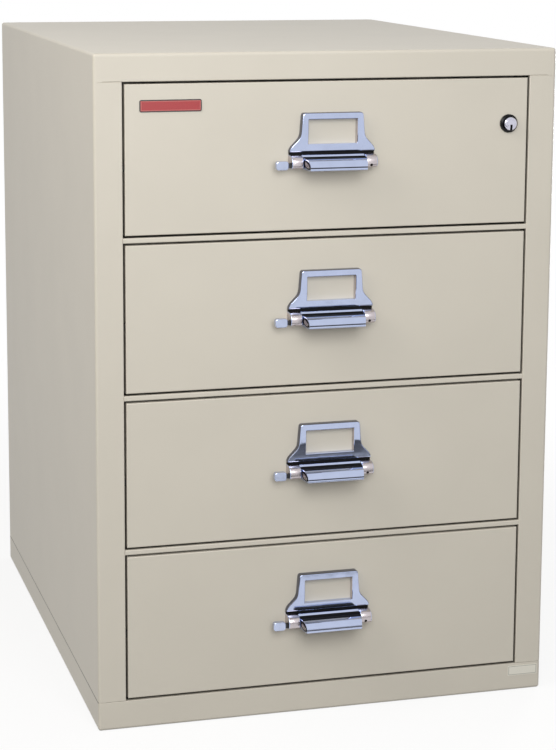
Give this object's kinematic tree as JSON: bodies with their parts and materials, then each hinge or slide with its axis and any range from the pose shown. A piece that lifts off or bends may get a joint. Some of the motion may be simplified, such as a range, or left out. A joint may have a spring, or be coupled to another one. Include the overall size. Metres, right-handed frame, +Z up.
{
  "type": "fireproof filing cabinet",
  "caption": "Insulated steel filing cabinet with low, wide drawers on telescopic slides, chrome label pulls with thumb latches, and a plunger lock that bars every drawer.",
  "frame": {"origin": "centre of the base pan's flat floor face, where the cabinet stands", "axes": "+Z up, -Y out of the front where the drawers open, +X to the right of someone facing the front"},
  "size_m": [0.641, 0.841, 0.914],
  "materials": {
    "cabinet_enamel": "putty baked enamel, satin, with a faint orange-peel texture",
    "liner_enamel": "grey-beige enamel inside the compartments and on the trays",
    "gypsum": "cast gypsum insulation, matt",
    "zinc_plate": "zinc-plated steel slides and bars",
    "chrome_casting": "bright chrome plate on a zinc casting",
    "lock_chrome": "satin chrome lock barrel and plug",
    "black_collar": "glossy black",
    "badge_enamel": "red enamel plate with a dark rim, no lettering",
    "label_film": "blank off-white label"
  },
  "bodies": {
    "cabinet": {"left_side_panel": "cabinet_enamel", "right_side_panel": "cabinet_enamel", "top_panel": "cabinet_enamel", "back_panel": "cabinet_enamel", "base_pan": "cabinet_enamel", "frame_rails": "cabinet_enamel", "side_insulation": "gypsum", "back_insulation": "gypsum", "shelf_insulation": "gypsum", "compartment_liner_1": "liner_enamel", "compartment_liner_2": "liner_enamel", "compartment_liner_3": "liner_enamel", "compartment_liner_4": "liner_enamel", "cabinet_slides": "zinc_plate", "blank_label": "label_film"},
    "drawer_1": {"drawer_1_face": "cabinet_enamel", "drawer_1_insulation": "gypsum", "drawer_1_head_plate": "liner_enamel", "drawer_1_tray": "liner_enamel", "drawer_1_follower_rail": "zinc_plate", "drawer_1_pull": "chrome_casting", "drawer_1_slides": "zinc_plate", "lock_collar": "black_collar", "badge_plate": "badge_enamel"},
    "middle_1": {"middle_slides_1": "zinc_plate"},
    "latch_1": {"thumb_latch_1": "chrome_casting"},
    "follower_1": {"drawer_1_follower": "zinc_plate"},
    "drawer_2": {"drawer_2_face": "cabinet_enamel", "drawer_2_insulation": "gypsum", "drawer_2_head_plate": "liner_enamel", "drawer_2_tray": "liner_enamel", "drawer_2_follower_rail": "zinc_plate", "drawer_2_pull": "chrome_casting", "drawer_2_slides": "zinc_plate"},
    "middle_2": {"middle_slides_2": "zinc_plate"},
    "latch_2": {"thumb_latch_2": "chrome_casting"},
    "follower_2": {"drawer_2_follower": "zinc_plate"},
    "drawer_3": {"drawer_3_face": "cabinet_enamel", "drawer_3_insulation": "gypsum", "drawer_3_head_plate": "liner_enamel", "drawer_3_tray": "liner_enamel", "drawer_3_follower_rail": "zinc_plate", "drawer_3_pull": "chrome_casting", "drawer_3_slides": "zinc_plate"},
    "middle_3": {"middle_slides_3": "zinc_plate"},
    "latch_3": {"thumb_latch_3": "chrome_casting"},
    "follower_3": {"drawer_3_follower": "zinc_plate"},
    "drawer_4": {"drawer_4_face": "cabinet_enamel", "drawer_4_insulation": "gypsum", "drawer_4_head_plate": "liner_enamel", "drawer_4_tray": "liner_enamel", "drawer_4_follower_rail": "zinc_plate", "drawer_4_pull": "chrome_casting", "drawer_4_slides": "zinc_plate"},
    "middle_4": {"middle_slides_4": "zinc_plate"},
    "latch_4": {"thumb_latch_4": "chrome_casting"},
    "follower_4": {"drawer_4_follower": "zinc_plate"},
    "lock_plunger": {"lock_plunger": "lock_chrome"},
    "key_plug": {"key_plug": "lock_chrome"},
    "lock_bar": {"lock_bar": "zinc_plate"}
  },
  "joints": [
    {"name": "drawer_1_slide", "type": "slide", "parent": "cabinet", "child": "drawer_1", "axis": [0, -1, 0], "range_m": [0, 0.64]},
    {"name": "middle_1_slide", "type": "slide", "parent": "cabinet", "child": "middle_1", "axis": [0, -1, 0], "range_m": [0, 0.32]},
    {"name": "latch_1_press", "type": "slide", "parent": "drawer_1", "child": "latch_1", "axis": [1, 0, 0], "range_m": [0, 0.0035], "stiffness_N_per_m": 400},
    {"name": "follower_1_slide", "type": "slide", "parent": "drawer_1", "child": "follower_1", "axis": [0, -1, 0], "range_m": [0, 0.55]},
    {"name": "drawer_2_slide", "type": "slide", "parent": "cabinet", "child": "drawer_2", "axis": [0, -1, 0], "range_m": [0, 0.64]},
    {"name": "middle_2_slide", "type": "slide", "parent": "cabinet", "child": "middle_2", "axis": [0, -1, 0], "range_m": [0, 0.32]},
    {"name": "latch_2_press", "type": "slide", "parent": "drawer_2", "child": "latch_2", "axis": [1, 0, 0], "range_m": [0, 0.0035], "stiffness_N_per_m": 400},
    {"name": "follower_2_slide", "type": "slide", "parent": "drawer_2", "child": "follower_2", "axis": [0, -1, 0], "range_m": [0, 0.55]},
    {"name": "drawer_3_slide", "type": "slide", "parent": "cabinet", "child": "drawer_3", "axis": [0, -1, 0], "range_m": [0, 0.64]},
    {"name": "middle_3_slide", "type": "slide", "parent": "cabinet", "child": "middle_3", "axis": [0, -1, 0], "range_m": [0, 0.32]},
    {"name": "latch_3_press", "type": "slide", "parent": "drawer_3", "child": "latch_3", "axis": [1, 0, 0], "range_m": [0, 0.0035], "stiffness_N_per_m": 400},
    {"name": "follower_3_slide", "type": "slide", "parent": "drawer_3", "child": "follower_3", "axis": [0, -1, 0], "range_m": [0, 0.55]},
    {"name": "drawer_4_slide", "type": "slide", "parent": "cabinet", "child": "drawer_4", "axis": [0, -1, 0], "range_m": [0, 0.64]},
    {"name": "middle_4_slide", "type": "slide", "parent": "cabinet", "child": "middle_4", "axis": [0, -1, 0], "range_m": [0, 0.32]},
    {"name": "latch_4_press", "type": "slide", "parent": "drawer_4", "child": "latch_4", "axis": [1, 0, 0], "range_m": [0, 0.0035], "stiffness_N_per_m": 400},
    {"name": "follower_4_slide", "type": "slide", "parent": "drawer_4", "child": "follower_4", "axis": [0, -1, 0], "range_m": [0, 0.55]},
    {"name": "lock_push", "type": "slide", "parent": "drawer_1", "child": "lock_plunger", "axis": [0, 1, 0], "range_m": [0, 0.01], "stiffness_N_per_m": 400},
    {"name": "key_turn", "type": "hinge", "parent": "lock_plunger", "child": "key_plug", "pos_m": [0.2525, -0.401, 0.8125], "axis": [0, 1, 0], "range_deg": [0, 90]},
    {"name": "lock_bar_lift", "type": "slide", "parent": "cabinet", "child": "lock_bar", "axis": [0, 0, 1], "range_m": [0, 0.01]}
  ],
  "couplings": [
    {"joint": "middle_1_slide", "follows": "drawer_1_slide", "ratio": 0.5},
    {"joint": "middle_2_slide", "follows": "drawer_2_slide", "ratio": 0.5},
    {"joint": "middle_3_slide", "follows": "drawer_3_slide", "ratio": 0.5},
    {"joint": "middle_4_slide", "follows": "drawer_4_slide", "ratio": 0.5},
    {"joint": "lock_bar_lift", "follows": "lock_push", "ratio": 1}
  ]
}
